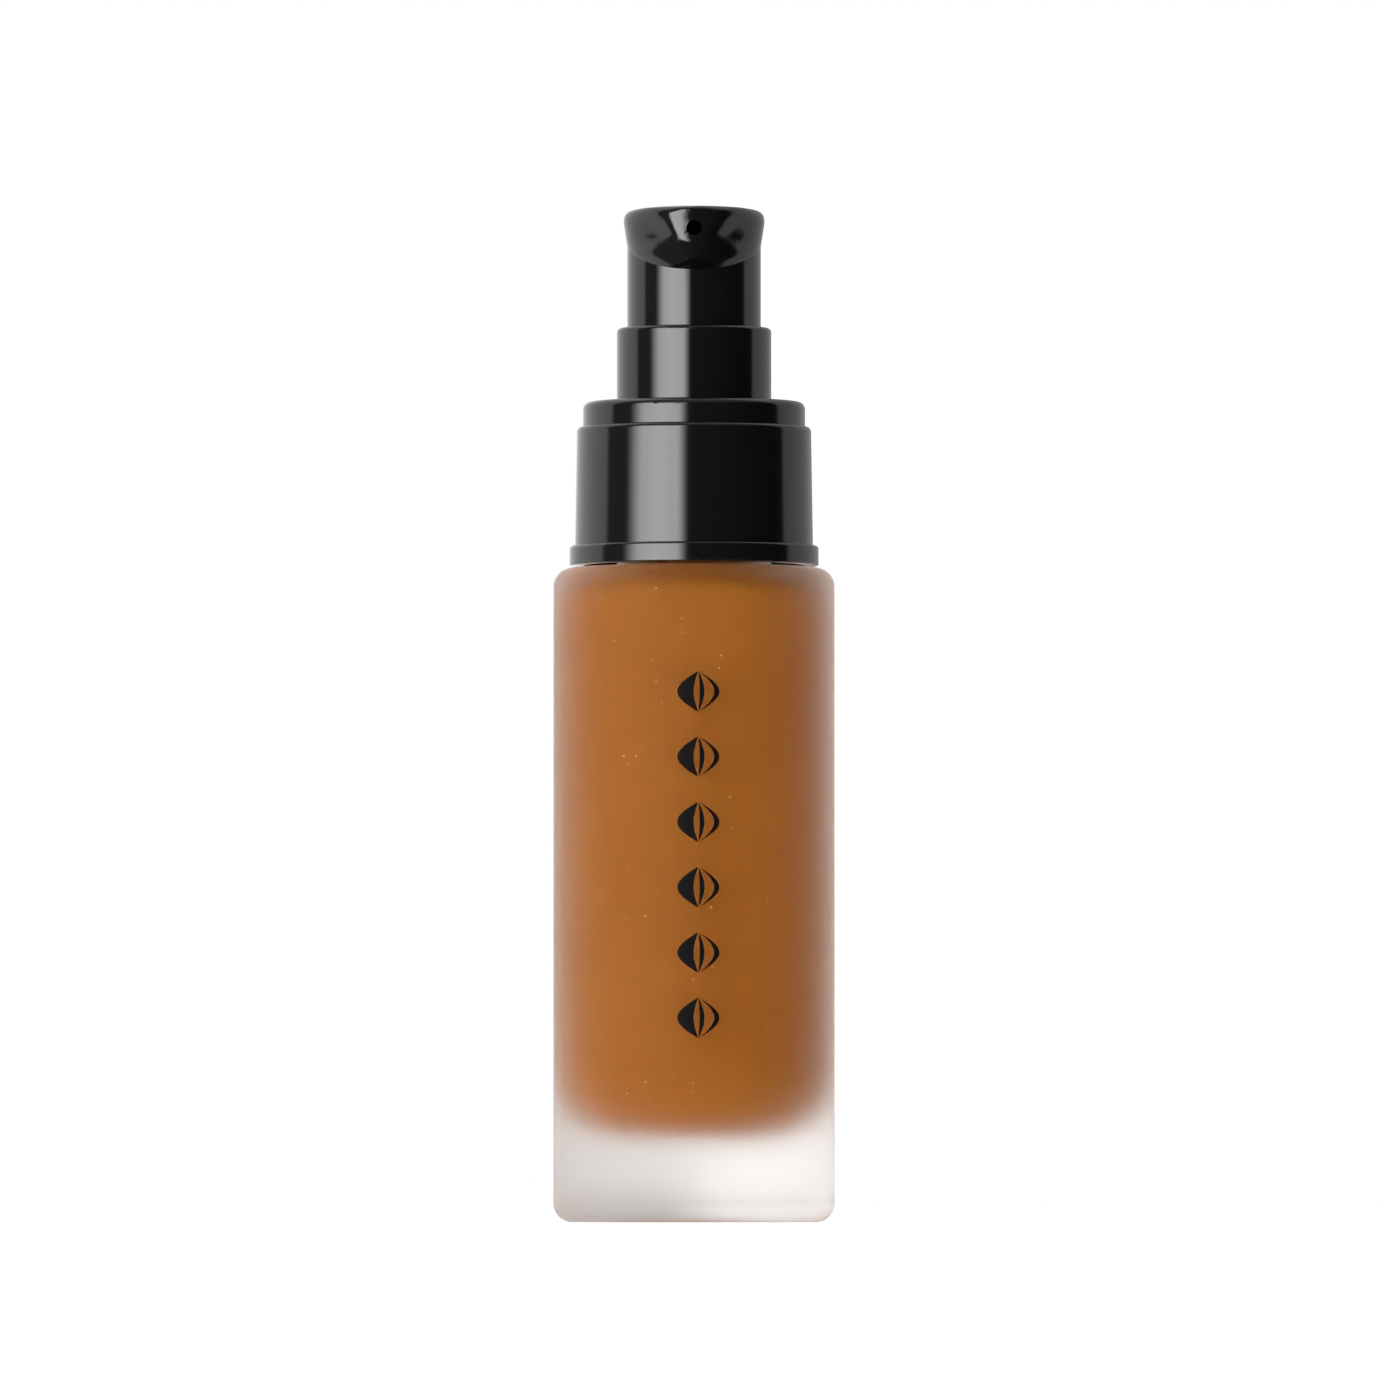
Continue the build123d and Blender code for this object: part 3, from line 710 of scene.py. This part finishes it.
def spring_tree():
    """A helix that rises by one wire for its first and last coil and evenly between them."""
    tree, given, result = geometry_tree(
        "return_spring",
        (
            ("Coils", "Int"), ("Steps", "Int"), ("Mean Radius", "Float"), ("Wire Radius", "Float"),
            ("Foot", "Float"), ("Height", "Float"), ("Wire", "Material"),
        ),
    )
    line = add(tree, "GeometryNodeMeshLine", {"Count": given.outputs["Steps"]})
    path = add(tree, "GeometryNodeMeshToCurve", {"Mesh": line.outputs[0]})
    index = add(tree, "GeometryNodeInputIndex").outputs[0]
    last = math_node(tree, "SUBTRACT", given.outputs["Steps"], 1.0)
    coil = math_node(tree, "MULTIPLY", math_node(tree, "DIVIDE", index, last), given.outputs["Coils"])
    turn = math_node(tree, "MULTIPLY", coil, 2 * math.pi)
    wire = math_node(tree, "MULTIPLY", given.outputs["Wire Radius"], 2.0)
    open_coils = math_node(tree, "SUBTRACT", given.outputs["Coils"], 2.0)
    closed_height = math_node(tree, "MULTIPLY", wire, 3.0)
    open_height = math_node(tree, "SUBTRACT", given.outputs["Height"], closed_height)
    low = math_node(tree, "MULTIPLY", math_node(tree, "MINIMUM", coil, 1.0), wire)
    past_open = math_node(tree, "SUBTRACT", math_node(tree, "SUBTRACT", coil, 1.0), open_coils)
    high = math_node(tree, "MULTIPLY", math_node(tree, "MAXIMUM", past_open, 0.0), wire)
    share = add(
        tree, "ShaderNodeMapRange", {"Value": coil, "From Min": 1.0, "To Max": open_height},
    )
    tree.links.new(math_node(tree, "ADD", open_coils, 1.0), share.inputs["From Max"])
    rise = math_node(tree, "ADD", math_node(tree, "ADD", low, high), share.outputs[0])
    axis_height = math_node(tree, "ADD", given.outputs["Foot"], given.outputs["Wire Radius"])
    spot = add(
        tree, "ShaderNodeCombineXYZ",
        {
            "X": math_node(tree, "MULTIPLY", math_node(tree, "COSINE", turn), given.outputs["Mean Radius"]),
            "Y": math_node(tree, "MULTIPLY", math_node(tree, "SINE", turn), given.outputs["Mean Radius"]),
            "Z": math_node(tree, "ADD", rise, axis_height),
        },
    )
    helix = add(tree, "GeometryNodeSetPosition", {"Geometry": path.outputs[0], "Position": spot.outputs[0]})
    section = add(
        tree, "GeometryNodeCurvePrimitiveCircle",
        {"Resolution": WIRE_SIDES, "Radius": given.outputs["Wire Radius"]},
    )
    drawn = add(
        tree, "GeometryNodeCurveToMesh",
        {"Curve": helix.outputs[0], "Profile Curve": section.outputs[0], "Fill Caps": True},
    )
    realized = add(tree, "GeometryNodeRealizeInstances", {0: drawn.outputs[0]})
    steel = add(
        tree, "GeometryNodeSetMaterial", {"Geometry": realized.outputs[0], "Material": given.outputs["Wire"]},
    )
    tree.links.new(steel.outputs[0], result.inputs[0])
    return tree


def stainless_steel(name, roughness, scratch):
    """Stainless steel, its gloss broken by the fine marks of drawing or grinding."""
    material, tree, output = new_material(name)
    where = add(tree, "ShaderNodeTexCoord")
    marks = add(
        tree, "ShaderNodeTexNoise", {"Vector": where.outputs["Object"], "Scale": 1 / scratch, "Detail": 4.0},
    )
    gloss = add(
        tree, "ShaderNodeMapRange",
        {"Value": marks.outputs["Fac"], "To Min": roughness * 0.7, "To Max": roughness * 1.3},
    )
    bump = add(
        tree, "ShaderNodeBump", {"Height": marks.outputs["Fac"], "Strength": 0.05, "Distance": 0.01 * MM},
    )
    shader = add(
        tree, "ShaderNodeBsdfPrincipled",
        {
            "Base Color": linear("#c4c0b9"), "Metallic": 1.0, "Roughness": gloss.outputs[0],
            "Normal": bump.outputs[0],
        },
    )
    tree.links.new(shader.outputs[0], output.inputs["Surface"])
    return material


spring_low, spring_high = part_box("return_spring")
spring = grown(
    "spring",
    spring_tree(),
    {
        "Coils": SPRING_COILS, "Steps": SPRING_COILS * STEPS_PER_COIL + 1,
        "Mean Radius": spring_high.x - WIRE_RADIUS, "Wire Radius": WIRE_RADIUS,
        "Foot": spring_low.z, "Height": spring_high.z - spring_low.z,
        "Wire": stainless_steel("cold_drawn_stainless_wire", 0.24, 3 * GRIND_SCRATCH),
    },
)
spring.data.shade_smooth()
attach(spring, "pump")
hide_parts("return_spring")
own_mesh(spring)
dress(stainless_steel("ground_stainless_ball", 0.12, GRIND_SCRATCH), "inlet_ball")


# ---------------------------------------------------------------------------
# Pump covers: collar shell, screw closure, guide tower and actuator head, black
# polypropylene from polished moulds, with the slight waviness of a thin wall.
# ---------------------------------------------------------------------------

WAVINESS = 7 * MM


def polished_black():
    """Near-black gloss whose reflections bend a very little, as on thin moulded walls."""
    material, tree, output = new_material("polished_black_polypropylene")
    where = add(tree, "ShaderNodeTexCoord")
    waves = add(
        tree, "ShaderNodeTexNoise", {"Vector": where.outputs["Object"], "Scale": 1 / WAVINESS, "Detail": 1.0},
    )
    bump = add(
        tree, "ShaderNodeBump", {"Height": waves.outputs["Fac"], "Strength": 0.05, "Distance": 0.05 * MM},
    )
    gloss = add(tree, "ShaderNodeMapRange", {"Value": waves.outputs["Fac"], "To Min": 0.07, "To Max": 0.09})
    shader = add(
        tree, "ShaderNodeBsdfPrincipled",
        {
            "Base Color": linear("#060606"), "Roughness": gloss.outputs[0], "IOR": 1.49,
            "Normal": bump.outputs[0],
        },
    )
    tree.links.new(shader.outputs[0], output.inputs["Surface"])
    return material


dress(polished_black(), "collar_shell", "screw_closure", "guide_tower", "actuator_head")


# ---------------------------------------------------------------------------
# Actuator core: the insert that grips the stem, black polypropylene straight
# from an unpolished mould, seen only as the dark floor of the nozzle.
# ---------------------------------------------------------------------------

dress(moulded_plastic("black_polypropylene_as_moulded", "#0b0b0b", "#121212", 0.5, 0.0), "actuator_core")
